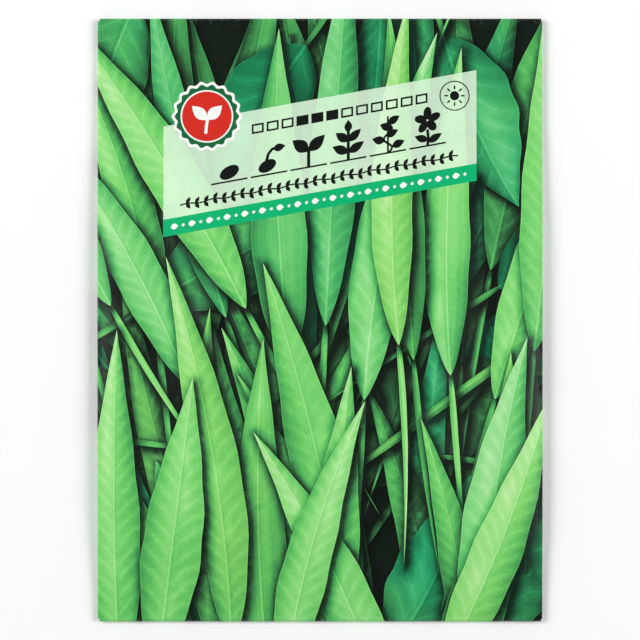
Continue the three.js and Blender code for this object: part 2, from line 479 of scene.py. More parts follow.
# %% Signs of a growing plant
def growth_signs():
    """Six signs, each a list of outlines up to about 9 mm high with the ground at 0."""
    ground = box(0, 0.2, 4.2, 0.2)
    seed = [ground, oval(0, 2.3, 2.3, 1.5, 0.35)]
    rooted = [
        ground,
        oval(-0.4, 2.2, 2.1, 1.4, 0.35),
        stroke([(-0.6, 3.3), (-0.2, 4.9), (0.7, 5.9), (1.9, 6.1)], 0.7),
        blade(0.9, 5.9, 0.1, 2.9, 1.8),
    ]
    sprout = [
        ground,
        stroke([(0, 0.3), (0, 4.4)], 0.75),
        blade(0, 3.9, 0.7, 4.9, 2.8),
        blade(0, 3.9, math.pi - 0.7, 4.9, 2.8),
    ]
    seedling = [
        ground,
        stroke([(0, 0.3), (0, 7.2)], 0.7),
        blade(0, 1.9, 0.5, 4.2, 2.1),
        blade(0, 1.9, math.pi - 0.5, 4.2, 2.1),
        blade(0, 4.5, 0.7, 3.8, 2.0),
        blade(0, 4.5, math.pi - 0.7, 3.8, 2.0),
        blade(0, 6.6, math.pi / 2, 2.9, 1.8),
    ]
    twining = [(0.95 * math.sin(0.2 + 0.42 * k), 0.3 + 0.3 * k) for k in range(23)]
    climber = [ground, box(0, 4.4, 0.22, 4.3), stroke(twining, 0.5)]
    for k, heading in ((4, 0.3), (9, 2.8), (13, 0.3), (18, 2.7), (22, 0.5)):
        climber.append(blade(*twining[k], heading, 3.1, 1.9))
    flower = [
        ground,
        stroke([(0, 0.3), (0.2, 1.8), (0, 4.0)], 0.65),
        blade(0.1, 1.0, 0.45, 3.6, 1.8),
        blade(0.1, 1.4, math.pi - 0.45, 3.4, 1.7),
    ]
    for k in range(5):
        a = math.pi / 2 + 2 * math.pi * k / 5
        flower.append(oval(1.65 * math.cos(a), 6.1 + 1.65 * math.sin(a), 1.45, 0.95, a, 16))
    return [seed, rooted, sprout, seedling, climber, flower]


print("signs:", [len(sign) for sign in growth_signs()])


# %% Rows of the label
SIGN_START, SIGN_STEP = -24.0, 10.5
MONTH_START, MONTH_STEP = -16.5, 3.95
MONTH_BOX, MONTH_HOLE = (1.6, 1.3), (1.1, 0.8)  # half width and half height
SOWING_MONTHS = range(3, 6)
VINE_START, VINE_STEP, VINE_POINTS = -37.0, 0.8, 93
MARK_START, MARK_STEP, MARK_COUNT = -38.5, 2.33, 34


def panel_and_strip():
    half, low = LABEL_HALF_WIDTH, PANEL_DEPTH + STRIP_DEPTH
    panel = on_label([(-half, 0), (half, 0), (half, PANEL_DEPTH), (-half, PANEL_DEPTH)])
    strip = on_label([(-half, PANEL_DEPTH), (half, PANEL_DEPTH), (half, low), (-half, low)])
    return [(panel, VEIL), (strip, STRIP_GREEN)]


def sign_row():
    motifs = []
    for k, sign in enumerate(growth_signs()):
        for part in sign:
            larger = [(SIGN_SCALE * px, SIGN_SCALE * py) for px, py in part]
            motifs.append((upright_on_label(larger, SIGN_START + SIGN_STEP * k, SIGNS_DOWN), INK_DARK))
    return motifs


def month_row():
    """Twelve boxes. The sowing months stay dark, and the others are opened."""
    motifs = []
    for month in range(12):
        across = MONTH_START + MONTH_STEP * month
        motifs.append((upright_on_label(box(across, 0, *MONTH_BOX), 0, MONTHS_DOWN), INK_DARK))
        if month not in SOWING_MONTHS:
            motifs.append((upright_on_label(box(across, 0, *MONTH_HOLE), 0, MONTHS_DOWN), VEIL))
    return motifs


def vine_row():
    """A wavy line with pairs of small leaves."""
    vine = [(VINE_START + VINE_STEP * k, 0.22 * math.sin(0.72 * k)) for k in range(VINE_POINTS)]
    outlines = [stroke(vine, 0.4)]
    for k in range(2, VINE_POINTS - 1, 3):
        outlines += [blade(*vine[k], heading, 1.9, 1.05, 6) for heading in (0.95, -0.95)]
    return [(upright_on_label(outline, 0, VINE_DOWN), INK_DARK) for outline in outlines]


def strip_marks():
    """White dots and small leaves by turns along the green strip."""
    outlines = []
    for k in range(MARK_COUNT):
        across = MARK_START + MARK_STEP * k
        dot = oval(across, 0, 0.4, 0.4, 0, 12)
        outlines.append(dot if k % 2 else blade(across - 1, 0, 0, 2.0, 1.6, 6))
    middle = PANEL_DEPTH + STRIP_DEPTH / 2
    return [(upright_on_label(outline, 0, middle), INK_WHITE) for outline in outlines]


label_motifs = panel_and_strip() + sign_row() + month_row() + vine_row() + strip_marks()
print(len(label_motifs), "outlines on the label, in painting order, each with its ink")


# %% The seal and the sun badge
def seal_motifs(x, y):
    """A plain scalloped seal with a sprout on it."""
    def rosette(radius, wave, lobes=18, sides=144):
        turns = [2 * math.pi * i / sides for i in range(sides)]
        reach = [radius + wave * math.cos(lobes * a) for a in turns]
        return [(x + r * math.cos(a), y + r * math.sin(a)) for r, a in zip(reach, turns)]

    sprout = [
        stroke([(x - 0.3, y - 4.6), (x - 0.1, y - 2.4), (x + 0.2, y - 0.4)], 0.8),
        blade(x + 0.1, y - 0.8, 0.75, 5.4, 3.0, 14),
        blade(x, y - 0.9, math.pi - 0.75, 5.4, 3.0, 14),
    ]
    return [
        (rosette(9.0, 0.35), INK_WHITE),
        (rosette(8.2, 0.35), SEAL_GREEN),
        (oval(x, y, 7.0, 7.0, 0, 64), INK_WHITE),
        (oval(x, y, 6.6, 6.6, 0, 64), SEAL_RED),
        *[(part, INK_WHITE) for part in sprout],
    ]


def sun_badge(x, y):
    """A thin ring with a sun in it: the plant wants a sunny place."""
    rays = []
    for k in range(8):
        a = math.pi * k / 4
        ends = [(x + r * math.cos(a), y + r * math.sin(a)) for r in (1.7, 2.7)]
        rays.append((stroke(ends, 0.42), INK_DARK))
    ring = [(oval(x, y, 4.0, 4.0, 0, 48), INK_DARK), (oval(x, y, 3.7, 3.7, 0, 48), VEIL)]
    return ring + rays + [(oval(x, y, 1.25, 1.25, 0, 24), INK_DARK)]


SEAL_PLACE, BADGE_PLACE = (-30.0, 54.0), (35.7, 59.5)
front_motifs = label_motifs + seal_motifs(*SEAL_PLACE) + sun_badge(*BADGE_PLACE)
print(len(front_motifs), "flat motifs on the front")

# %% [markdown]
# ## The back's print
#
# The back is plainer: a pale ground, a green heading band, a sowing calendar and three signs that show
# depth, spacing and water. It is drawn as the buyer sees it and then moved onto the blank's back panel.
# It needs no mirroring, because the blank is seen from its printed side.

# %% Inks of the back
BACK_GROUND = srgb(236, 243, 226)
BACK_BAND = srgb(34, 122, 66)
BACK_BAR = srgb(96, 178, 92)
BACK_BAR_WARM = srgb(232, 160, 52)
BACK_LINE = srgb(120, 160, 118)
SOIL = srgb(150, 112, 78)
WATER = srgb(72, 140, 186)


def on_back(points):
    """From the back as seen from behind, with +X to the viewer's right, to the blank."""
    return [(left.edge(left.at - x), y) for x, y in points]


def framed(x, y, half_width, half_height, line, fill):
    """A box of one ink with a thin outline of the back's line ink."""
    outer_box = box(x, y, half_width, half_height)
    return [(outer_box, BACK_LINE), (box(x, y, half_width - line, half_height - line), fill)]


print("middle of the back, on the blank:", [round(v, 1) for v in on_back([(0, 0)])[0]])


# %% Heading and calendar of the back
HEADING_Y, HEADING_HALF = 33, (46, 5.5)
PLANTS_Y, PLANTS_START, PLANTS_STEP = 29.4, -36, 10
CALENDAR_START, CALENDAR_STEP = -40.5, 7.36
CALENDAR_BOX, CALENDAR_LINE = (3.3, 2.0), 0.25
NAMES_Y, SOWING_Y, HARVEST_Y = 19.5, 13.6, 8.2
HARVEST_MONTHS = range(6, 10)


def heading_band():
    """A green band with three growing plants on it."""
    motifs = [(box(0, HEADING_Y, *HEADING_HALF), BACK_BAND)]
    for k, sign in enumerate(growth_signs()[2:5]):
        across = PLANTS_START + PLANTS_STEP * k
        motifs += [(turned(part, 0, across, PLANTS_Y), INK_WHITE) for part in sign]
    return motifs


def calendar():
    """A row of months, and under it a row for sowing and a row for harvest."""
    rows = ((SOWING_Y, SOWING_MONTHS, BACK_BAR), (HARVEST_Y, HARVEST_MONTHS, BACK_BAR_WARM))
    motifs = []
    for month in range(12):
        across = CALENDAR_START + CALENDAR_STEP * month
        motifs += framed(across, NAMES_Y, *CALENDAR_BOX, CALENDAR_LINE, INK_WHITE)
        for y, months, ink in rows:
            fill = ink if month in months else BACK_GROUND
            motifs += framed(across, y, *CALENDAR_BOX, CALENDAR_LINE, fill)
    return motifs


print(len(heading_band()) + len(calendar()), "outlines in the heading and calendar")


# %% Sowing pictures of the back
PICTURE_Y, PICTURE_HALF, PICTURE_LINE, PICTURE_STEP = -15, 13, 0.3, 30
SOIL_TOP, SEED_DEPTH, ARROW_Y, ARROW_WIDTH = -18.3, 3.7, -8, 0.5


def sowing_frame(x, has_soil):
    """A white box with a thin outline, with or without soil along its foot."""
    inner_half = PICTURE_HALF - PICTURE_LINE
    foot = PICTURE_Y - inner_half
    soil = box(x, (foot + SOIL_TOP) / 2, inner_half, (SOIL_TOP - foot) / 2)
    frame_motifs = framed(x, PICTURE_Y, PICTURE_HALF, PICTURE_HALF, PICTURE_LINE, INK_WHITE)
    return frame_motifs + ([(soil, SOIL)] if has_soil else [])


def depth_picture(x):
    """A seed in the soil, and an arrow that shows how deep it goes."""
    arrow_x, foot = x + 8, SOIL_TOP - SEED_DEPTH
    seed = oval(x, foot, 2.2, 1.4, 0.3)
    shaft = stroke([(arrow_x, SOIL_TOP), (arrow_x, foot)], ARROW_WIDTH)
    tip = [(arrow_x - 1.2, foot + 1.1), (arrow_x, foot - 0.1), (arrow_x + 1.2, foot + 1.1)]
    outlines = [seed, shaft, stroke(tip, ARROW_WIDTH)]
    return sowing_frame(x, True) + [(outline, INK_WHITE) for outline in outlines]


def spacing_picture(x):
    """Two sprouts, and an arrow that shows how far apart they stand."""
    motifs = sowing_frame(x, True)
    for side in (-1, 1):
        sprout = growth_signs()[2][1:]
        motifs += [(turned(part, 0, x + 6 * side, SOIL_TOP), BACK_BAND) for part in sprout]
        end, back = x + 5.6 * side, x + 4.3 * side
        tip = [(back, ARROW_Y + 1.1), (end, ARROW_Y), (back, ARROW_Y - 1.1)]
        motifs.append((stroke(tip, ARROW_WIDTH), INK_DARK))
    return motifs + [(stroke([(x - 5, ARROW_Y), (x + 5, ARROW_Y)], ARROW_WIDTH), INK_DARK)]


def water_picture(x):
    """Three drops."""
    motifs = sowing_frame(x, False)
    for across, top_y, size in ((-4, -7.6, 1.0), (3.5, -6.5, 0.8), (1, -14.5, 1.25)):
        drop = blade(x + across, top_y, -math.pi / 2, 6.5 * size, 4.6 * size, 14)
        motifs.append((drop, WATER))
    return motifs


sowing_pictures = depth_picture(-PICTURE_STEP) + spacing_picture(0) + water_picture(PICTURE_STEP)
print(len(sowing_pictures), "outlines in the sowing pictures")

# %% Writing lines of the back
LINE_TOP, LINE_STEP, LINE_HALF_WIDTH = -36, 3.6, 0.16
FULL_LINE, SHORT_LINE = (0, 43), (-12, 31)  # middle and half length

writing_lines = []
for k, (x, half) in enumerate([FULL_LINE] * 5 + [SHORT_LINE]):
    writing_lines.append((box(x, LINE_TOP - LINE_STEP * k, half, LINE_HALF_WIDTH), BACK_LINE))
back_motifs = heading_band() + calendar() + sowing_pictures + writing_lines
back_motifs = [(on_back(outline), ink) for outline, ink in back_motifs]
print(len(back_motifs), "outlines on the back")


# %% Plain grounds under the prints
GROUND_BLEED = 1.2  # the picture runs this far past each fold before a ground starts


def ground_motifs():
    """The plain grounds of the back panel and of the two end flaps, on the blank."""
    far, near = left.edge(left.reach), left.edge(GROUND_BLEED)
    panel = [(far, -bottom.at), (near, -bottom.at), (near, top.at), (far, top.at)]
    grounds = [(panel, BACK_GROUND)]
    for fold in (bottom, top):
        ys = (fold.edge(GROUND_BLEED), fold.edge(fold.reach))
        flap = [(-left.at, ys[0]), (right.at, ys[0]), (right.at, ys[1]), (-left.at, ys[1])]
        grounds.append((flap, BACK_BAND))
    return grounds


flat_motifs = ground_motifs() + back_motifs + front_motifs
print(len(flat_motifs), "flat motifs in all")

# %% [markdown]
# ## One mesh for the whole blank
#
# All outlines, fold lines and a net of grid points go into one constrained Delaunay triangulation. It
# cuts every outline into the mesh, also where they cross, which separate stickers would not do. Then
# each triangle asks which leaf and which flat motif lie uppermost over its middle.


# %% Collect points and lines for the triangulation
class Drawing:
    """Points and lines on the flat blank, in millimetres."""

    def __init__(self):
        self.points = []
        self.lines = []

    def add_points(self, points):
        self.points += points

    def add_line(self, points, closed=False):
        start = len(self.points)
        self.points += points
        count = len(points)
        ends = range(count if closed else count - 1)
        self.lines += [(start + i, start + (i + 1) % count) for i in ends]


def spaced(low, high, pitch):
    steps = max(1, round((high - low) / pitch))
    return [low + (high - low) * i / steps for i in range(steps + 1)]


FRONT_PITCH, BACK_PITCH, FLAP_PITCH = 2.4, 3.2, 2.6  # of the net of points on each panel
ARC_STEPS = 6
front_xs = spaced(-left.at, right.at, FRONT_PITCH)
front_ys = spaced(-bottom.at, top.at, FRONT_PITCH)


def across_fold(fold, pitch):
    """Lines parallel to a fold: round its half circle, and then over the panel that it turns under."""
    arc = [fold.sign * (fold.at + fold.arc * i / ARC_STEPS) for i in range(1, ARC_STEPS + 1)]
    panel = [fold.edge(past) for past in spaced(0, fold.reach, pitch)[1:]]
    return arc, panel


drawing = Drawing()
for fold in folds:
    arc_lines, panel_lines = across_fold(fold, BACK_PITCH if fold is left else FLAP_PITCH)
    beside = front_ys if fold.axis == 0 else front_xs
    for level in [fold.sign * fold.at, *arc_lines, panel_lines[-1]]:
        drawing.add_line([(level, b) if fold.axis == 0 else (b, level) for b in beside])
    for level in panel_lines[:-1]:
        drawing.add_points([(level, b) if fold.axis == 0 else (b, level) for b in beside])
    for end in (beside[0], beside[-1]):
        edge_line = [fold.sign * fold.at, *arc_lines, *panel_lines]
        drawing.add_line([(level, end) if fold.axis == 0 else (end, level) for level in edge_line])
drawing.add_points([(x, y) for x in front_xs[1:-1] for y in front_ys[1:-1]])
print(len(drawing.points), "points before the motifs")


# %% Keep a motif's outline on the part of the blank that shows it
def clipped(outline, low, high):
    """The outline cut to the box between low and high, edge by edge."""
    for axis in (0, 1):
        for sign, limit in ((1, high[axis]), (-1, -low[axis])):
            kept = []
            for i, now in enumerate(outline):
                before = outline[i - 1]
                a, b = sign * before[axis] - limit, sign * now[axis] - limit
                if (a > 0) != (b > 0):
                    t = a / (a - b)
                    kept.append(tuple(p + t * (q - p) for p, q in zip(before, now)))
                if b <= 0:
                    kept.append(now)
            outline = kept
    return outline


picture_low = (left.edge(GROUND_BLEED), bottom.edge(GROUND_BLEED))
picture_high = (right.edge(GROUND_BLEED), top.edge(GROUND_BLEED))
SHADE_RINGS = (0.9, 2.2)  # rings of points round each leaf, for the soft shade that it casts
RING_CLEAR = 0.4  # the rings keep this clear of the folds
ring_x, ring_y = left.at - RING_CLEAR, bottom.at - RING_CLEAR
leaf_outlines = [clipped(leaf.outline(), picture_low, picture_high) for leaf in leaves]
for outline in leaf_outlines:
    if outline:
        drawing.add_line(outline, closed=True)
for leaf in leaves:
    for out in SHADE_RINGS:
        ring = leaf.outline(out)
        drawing.add_points([(x, y) for x, y in ring if abs(x) < ring_x and abs(y) < ring_y])
for outline, ink in flat_motifs:
    drawing.add_line(outline, closed=True)
print(len(drawing.points), "points and", len(drawing.lines), "lines")


# %% Triangulate the blank
def on_blank(points):
    """Which points are on the cross-shaped blank."""
    x, y = points[:, 0], points[:, 1]
    middle_x = (x > -left.at) & (x < right.at)
    middle_y = (y > -bottom.at) & (y < top.at)
    wide = (x > left.edge(left.reach)) & (x < right.edge(right.reach)) & middle_y
    tall = (y > bottom.edge(bottom.reach)) & (y < top.edge(top.reach)) & middle_x
    return wide | tall


WHOLE_HULL = 0  # the kind of output: triangles over all that the points span
CLOSE = 1e-3  # points nearer than this become one
vertices, _, triangles, *_ = delaunay_2d_cdt(
    [Vector(p) for p in drawing.points], drawing.lines, [], WHOLE_HULL, CLOSE, False
)
flat = np.array([tuple(v) for v in vertices])
faces = np.array(triangles)
faces = faces[on_blank(flat[faces].mean(axis=1))]
used, inverse = np.unique(faces, return_inverse=True)
flat, faces = flat[used], inverse.reshape(-1, 3)
middles = flat[faces].mean(axis=1)
print(len(flat), "vertices and", len(faces), "triangles")


# %% Ask each triangle which motif is uppermost
def inside(outline, points):
    """Which points are inside a closed outline."""
    crossed = np.zeros(len(points), bool)
    x, y = points[:, 0], points[:, 1]
    for (x1, y1), (x2, y2) in zip(outline, outline[1:] + outline[:1]):
        if y1 != y2:
            meets = ((y1 > y) != (y2 > y)) & (x < (x2 - x1) * (y - y1) / (y2 - y1) + x1)
            crossed ^= meets
    return crossed


def uppermost(outlines):
    """For every triangle, the number of the last outline over its middle, or -1."""
    result = np.full(len(middles), -1)
    for number, outline in enumerate(outlines):
        if not outline:
            continue
        corners = np.array(outline)
        near = ((middles > corners.min(axis=0)) & (middles < corners.max(axis=0))).all(axis=1)
        chosen = np.flatnonzero(near)
        result[chosen[inside(outline, middles[chosen])]] = number
    return result


leaf_of_face = uppermost(leaf_outlines)
motif_of_face = uppermost([outline for outline, _ in flat_motifs])
print("triangles with a leaf:", int((leaf_of_face >= 0).sum()))


# %% Soft shade that a leaf casts on those under it
SHADE_REACH, SHADE_FADE = 3.4, 1.5
SHADE_SHIFT = (-0.7, 0.9)  # the picture's light comes from the upper left
corner_points = flat[faces.reshape(-1)]
corner_leaf = np.repeat(leaf_of_face, 3)
shade = np.zeros(len(corner_points))
for number, leaf in enumerate(leaves):
    under = np.flatnonzero(corner_leaf < number)
    away = leaf.outside(corner_points[under] + SHADE_SHIFT)
    cast = np.clip(1 - away / SHADE_REACH, 0, 1) ** SHADE_FADE
    shade[under] = np.maximum(shade[under], cast)
print(f"mean shade {shade.mean():.2f}")

# %% [markdown]
# ## The paper sheet
#
# The blank's mesh is folded by the function above and doubled: one skin half a paper's thickness
# outside and one inside, closed by a rim along every cut edge. Blender's Solidify modifier could do
# that, but building both skins here keeps the printed side, the bare side and their maps apart. The
# outlines leave many thin triangles, whose own normals would make blotches, so every corner gets the
# direction that the folding formula gives there.


# %% Fold and thicken
def sheet_normals(flat_points, distance=0.05):
    """Directions straight out of the paper, from how its middle surface turns round each point."""
    on_flap = np.abs(flat_points[:, 1]) > top.at + ROUNDING
    on_side = np.abs(flat_points[:, 0]) > right.at + ROUNDING

    def neighbour(step):
        """Where the paper is this far away, on the same panel or flap."""
        moved = flat_points + step
        moved[on_flap, 0] = moved[on_flap, 0].clip(-left.at, right.at)
        moved[on_side, 1] = moved[on_side, 1].clip(-bottom.at, top.at)
        return folded(moved)

    across, up = np.array([distance, 0.0]), np.array([0.0, distance])
    out = np.cross(neighbour(across) - neighbour(-across), neighbour(up) - neighbour(-up))
    return out / np.linalg.norm(out, axis=1, keepdims=True)


def rim_edges(triangles):
    """Directed edges that only one triangle has."""
    edges = {(int(t[i]), int(t[(i + 1) % 3])) for t in triangles for i in range(3)}
    return [edge for edge in edges if edge[::-1] not in edges]


middle_surface = folded(flat)
normals = sheet_normals(flat)
outer = middle_surface + normals * PAPER / 2
inner = middle_surface - normals * PAPER / 2
under = len(flat)
rim = sorted(rim_edges(faces))
rim_faces = [(b, a, a + under) for a, b in rim] + [(b, a + under, b + under) for a, b in rim]
inner_faces = faces[:, [0, 2, 1]] + under
all_faces = [*faces.tolist(), *inner_faces.tolist(), *rim_faces]
sheet_mesh = bpy.data.meshes.new("printed_packet")
sheet_mesh.from_pydata((np.vstack([outer, inner]) * MM).tolist(), [], all_faces)
printed_packet = bpy.data.objects.new("printed_packet", sheet_mesh)
bpy.context.collection.objects.link(printed_packet)
print(len(sheet_mesh.polygons), "faces, problems mended:", sheet_mesh.validate())


# %% Write what each triangle shows into the mesh
def add_attribute(mesh, name, kind, domain, values):
    made = mesh.attributes.new(name, kind, domain)
    field = {"FLOAT": "value", "FLOAT_VECTOR": "vector", "FLOAT_COLOR": "color"}[kind]
    made.data.foreach_set(field, np.asarray(values, dtype=np.float32).ravel())


RUB_REACH = 0.8  # how far beside a fold's half circle the coating is rubbed
total_faces, front_faces = len(all_faces), len(faces)
leaf_place = np.zeros((total_faces * 3, 3))
leaf_size = np.tile([1.0, 1.0, 0.0], (total_faces, 1))  # a size of 1 where there is no leaf
leaf_tone = np.zeros((total_faces, 3))
for number, leaf in enumerate(leaves):
    chosen = np.flatnonzero(leaf_of_face == number)
    corners = (chosen[:, None] * 3 + np.arange(3)).ravel()
    along, across = leaf.own_place(corner_points[corners])
    leaf_place[corners] = np.column_stack([along, across, np.full(len(corners), leaf.taper)])
    leaf_size[chosen] = (leaf.length, leaf.half_width, leaf.bend)
    leaf_tone[chosen] = (leaf.tone, leaf.tint, leaf.style)
inks = np.array([ink for _, ink in flat_motifs] + [(0, 0, 0, 0)])
ink = np.zeros((total_faces, 4))
ink[:front_faces] = inks[motif_of_face]
corner_shade = np.zeros(total_faces * 3)
corner_shade[: len(shade)] = shade
near_fold = np.zeros(2 * under)  # 1 on a fold's half circle, 0 beyond the rub beside it
for fold in folds:
    off = np.abs(fold.sign * flat[:, fold.axis] - fold.at - fold.arc / 2)
    near = np.clip(1 - (off - fold.arc / 2) / RUB_REACH, 0, 1)
    near_fold[:under] = np.maximum(near_fold[:under], near)
add_attribute(sheet_mesh, "leaf_place", "FLOAT_VECTOR", "CORNER", leaf_place)
add_attribute(sheet_mesh, "leaf_size", "FLOAT_VECTOR", "FACE", leaf_size)
add_attribute(sheet_mesh, "leaf_tone", "FLOAT_VECTOR", "FACE", leaf_tone)
add_attribute(sheet_mesh, "ink", "FLOAT_COLOR", "CORNER", np.repeat(ink, 3, axis=0))
add_attribute(sheet_mesh, "shade", "FLOAT", "CORNER", corner_shade)
add_attribute(sheet_mesh, "near_fold", "FLOAT", "POINT", near_fold)
print([a.name for a in sheet_mesh.attributes if not a.name.startswith(".")])

# %% [markdown]
# ## A map for the sheet
#
# The finished part carries its print as one picture, so the sheet needs a flat map. The blank is
# already flat, so its own places serve. The front matters most and gets most of the map's width, and
# the bare inside, which is plain white, is squeezed into a narrow strip at the map's right edge.

# %% Lay out the map
MAP_X = (
    # (place on the blank, place on the map)
    (left.edge(left.reach), 0.005),
    (-left.at, 0.30),
    (right.at, 0.93),
    (right.edge(right.reach), 0.95),
)
MAP_Y = (
    (bottom.edge(bottom.reach), 0.005),
    (-bottom.at, 0.06),
    (top.at, 0.93),
    (top.edge(top.reach), 0.995),
)
INSIDE_START, INSIDE_WIDTH = 0.96, 0.035
MAP_DOTS = 1024  # width of the finished picture

map_u = np.interp(flat[:, 0], *zip(*MAP_X))
map_v = np.interp(flat[:, 1], *zip(*MAP_Y))
outside_map = np.column_stack([map_u, map_v])
inside_map = np.column_stack([INSIDE_START + INSIDE_WIDTH * map_u, map_v])
vertex_map = np.vstack([outside_map, inside_map])
face_corners = np.array(all_faces)
corner_map = vertex_map[face_corners]
rim_start = 2 * front_faces
corner_map[rim_start:] = vertex_map[face_corners[rim_start:] % under + under]
sheet_map = sheet_mesh.uv_layers.new(name="OFBake")
sheet_map.data.foreach_set("uv", corner_map.astype(np.float32).ravel())
print(f"front panel map: {(MAP_X[2][1] - MAP_X[1][1]) * MAP_DOTS / WIDTH:.1f} dots per mm")

# %% [markdown]
# ## Materials as plain maths
#
# A material is a tree of nodes. Each node could be made and linked by hand, but that is long and hides
# the formula. So one small class wraps an output socket: plus, minus and times add Math nodes, and any
# other node comes from one method.


# %% The wire class
MIX_SHARE, MIX_FIRST, MIX_SECOND, MIX_RESULT = 0, 6, 7, 2  # a Mix node's sockets for colours


class Wire:
    """An output socket of a material's node tree."""

    def __init__(self, tree, socket=None):
        self.tree, self.socket = tree, socket

    def node(self, kind, settings=None, sockets=None, output=0):
        """Any node: first its settings, then the values or links of its sockets."""
        made = self.tree.nodes.new("ShaderNode" + kind)
        for name, value in (settings or {}).items():
            if name == "stops":
                ramp_stops(made.color_ramp, value)
            else:
                setattr(made, name, value)
        for name, value in (sockets or {}).items():
            if isinstance(value, Wire):
                self.tree.links.new(value.socket, made.inputs[name])
            else:
                made.inputs[name].default_value = value
        return Wire(self.tree, made.outputs[output])

    def maths(self, operation, *values):
        return self.node("Math", {"operation": operation}, dict(enumerate(values)))

    def __add__(self, other):
        return self.maths("ADD", self, other)

    def __radd__(self, other):
        return self.maths("ADD", other, self)

    def __sub__(self, other):
        return self.maths("SUBTRACT", self, other)

    def __rsub__(self, other):
        return self.maths("SUBTRACT", other, self)

    def __mul__(self, other):
        return self.maths("MULTIPLY", self, other)

    def __rmul__(self, other):
        return self.maths("MULTIPLY", other, self)

    def __truediv__(self, other):
        return self.maths("DIVIDE", self, other)

    def __pow__(self, other):
        return self.maths("POWER", self, other)

    def __abs__(self):
        return self.maths("ABSOLUTE", self)

    def sine(self):
        return self.maths("SINE", self)

    def limited(self, low=0.0, high=1.0):
        return self.node("Clamp", {}, {"Value": self, "Min": low, "Max": high})

    def step(self, low, high):
        """0 below low, 1 above high, smooth between."""
        sockets = {"Value": self, "From Min": low, "From Max": high}
        return self.node("MapRange", {"interpolation_type": "SMOOTHSTEP"}, sockets)

    def attribute(self, name, output="Fac"):
        return self.node("Attribute", {"attribute_name": name}, {}, output)

    def axes(self):
        """The three parts of a vector."""
        parts = self.node("SeparateXYZ", {}, {"Vector": self}).socket.node.outputs
        return [Wire(self.tree, part) for part in parts]

    def noise(self, place, scale, detail=2.0, roughness=0.5):
        sockets = {"Vector": place, "Scale": scale, "Detail": detail, "Roughness": roughness}
        return self.node("TexNoise", {}, sockets)

    def blended(self, other, share, how="MIX"):
        """This colour with a share of another one, or of its product with how="MULTIPLY"."""
        settings = {"data_type": "RGBA", "blend_type": how}
        sockets = {MIX_SHARE: share, MIX_FIRST: self, MIX_SECOND: other}
        return self.node("Mix", settings, sockets, MIX_RESULT)


print("what a wire can do:", [name for name in vars(Wire) if not name.startswith("_")])


# %% Make a material and feed its shader
def ramp_stops(colour_ramp, stops):
    while len(colour_ramp.elements) < len(stops):
        colour_ramp.elements.new(1.0)
    for element, (position, colour) in zip(colour_ramp.elements, stops):
        element.position, element.color = position, colour


def new_material(name, **uniform):
    """A material with its shader, the values that are the same all over it, and a first wire."""
    material = bpy.data.materials.new(name)
    material.use_nodes = True
    tree = material.node_tree
    shader = tree.nodes["Principled BSDF"]
    for socket, value in uniform.items():
        shader.inputs[socket.replace("_", " ")].default_value = value
    return material, shader, Wire(tree)


def feed(shader, **wires):
    """Link wires to the shader's inputs by name."""
    for socket, wire in wires.items():
        wire.tree.links.new(wire.socket, shader.inputs[socket.replace("_", " ")])


print(len(bpy.data.materials), "materials came with the frame")

# %% [markdown]
# ## The print's greens
#
# Green ink on white paper gets yellower as it gets lighter, and some leaves are bluer than others. A
# colour for each leaf would look flat, so the nodes first work out how light the picture is at a point,
# and one of two ramps then turns that lightness into ink.

# %% Ramps of the printed greens
GREENS = [
    (0.00, srgb(2, 5, 3)),
    (0.13, srgb(10, 27, 15)),
    (0.26, srgb(38, 80, 48)),
    (0.38, srgb(62, 144, 78)),
    (0.50, srgb(84, 182, 92)),
    (0.62, srgb(116, 208, 106)),
    (0.76, srgb(148, 224, 130)),
    (1.00, srgb(200, 242, 178)),
]
BLUISH_GREENS = [
    (0.00, srgb(1, 6, 4)),
    (0.20, srgb(4, 48, 34)),
    (0.40, srgb(10, 124, 82)),
    (0.58, srgb(30, 172, 118)),
    (1.00, srgb(140, 226, 180)),
]
WARM_GREEN = srgb(186, 222, 88)
RAMP_SHARE = 0.8  # the ramps go on past a lightness of 1, so that highlights keep their detail
print(len(GREENS), "stops from dark to light")

# %% [markdown]
# ## Painting the leaves
#
# One set of nodes paints every leaf. A picture file would be easier, but it isn't sharp at every size.
# Each triangle knows its leaf's length, width and bend, so the nodes can work out how far along and
# across that leaf a point is. From that they draw a midrib, side veins or fine ribs, a crease, and the
# soft rounding and gloss of a blade that twists in the light. The printed paper's material grows cell
# by cell.


# %% Find a point on its leaf
class LeafPoint:
    """The place of a point on the leaf that its triangle shows, and that leaf's own numbers."""

    def __init__(self, start):
        self.along, across, taper = start.attribute("leaf_place", "Vector").axes()
        length, self.half_width, bend = start.attribute("leaf_size", "Vector").axes()
        self.tone, self.tint, self.style = start.attribute("leaf_tone", "Vector").axes()
        self.turn = 2 * math.pi * self.style
        self.t = (self.along / length).limited(0.001, 0.999)  # 0 at the foot, 1 at the tip
        self.off = across - bend * self.t * self.t  # sideways from the midrib
        ripple = 1 + RIPPLE * (RIPPLE_TURNS * self.t + self.turn).sine()
        self.half = self.half_width * (math.pi * self.t**taper).sine() * ripple
        self.share = (self.off / self.half).limited(-1, 1)  # 0 on the midrib, 1 or -1 at a margin


paper_finish, paper_shader, paper = new_material(
    "printed paper", Coat_Weight=0.03, Coat_Roughness=0.3, Specular_IOR_Level=0.2
)
spot = paper.node("TexCoord", {}, {}, "Object")
leaf_here = LeafPoint(paper)
print(len(paper_finish.node_tree.nodes), "nodes find a point on its leaf")


# %% Veins, ribs and midrib
VEIN_LIGHT, MIDRIB_LIGHT, MIDRIB_SHADE = 0.085, 0.17, 0.05
VEIN_SLANT, VEIN_CURVE, VEIN_WANDER = 1.3, 0.05, 0.7


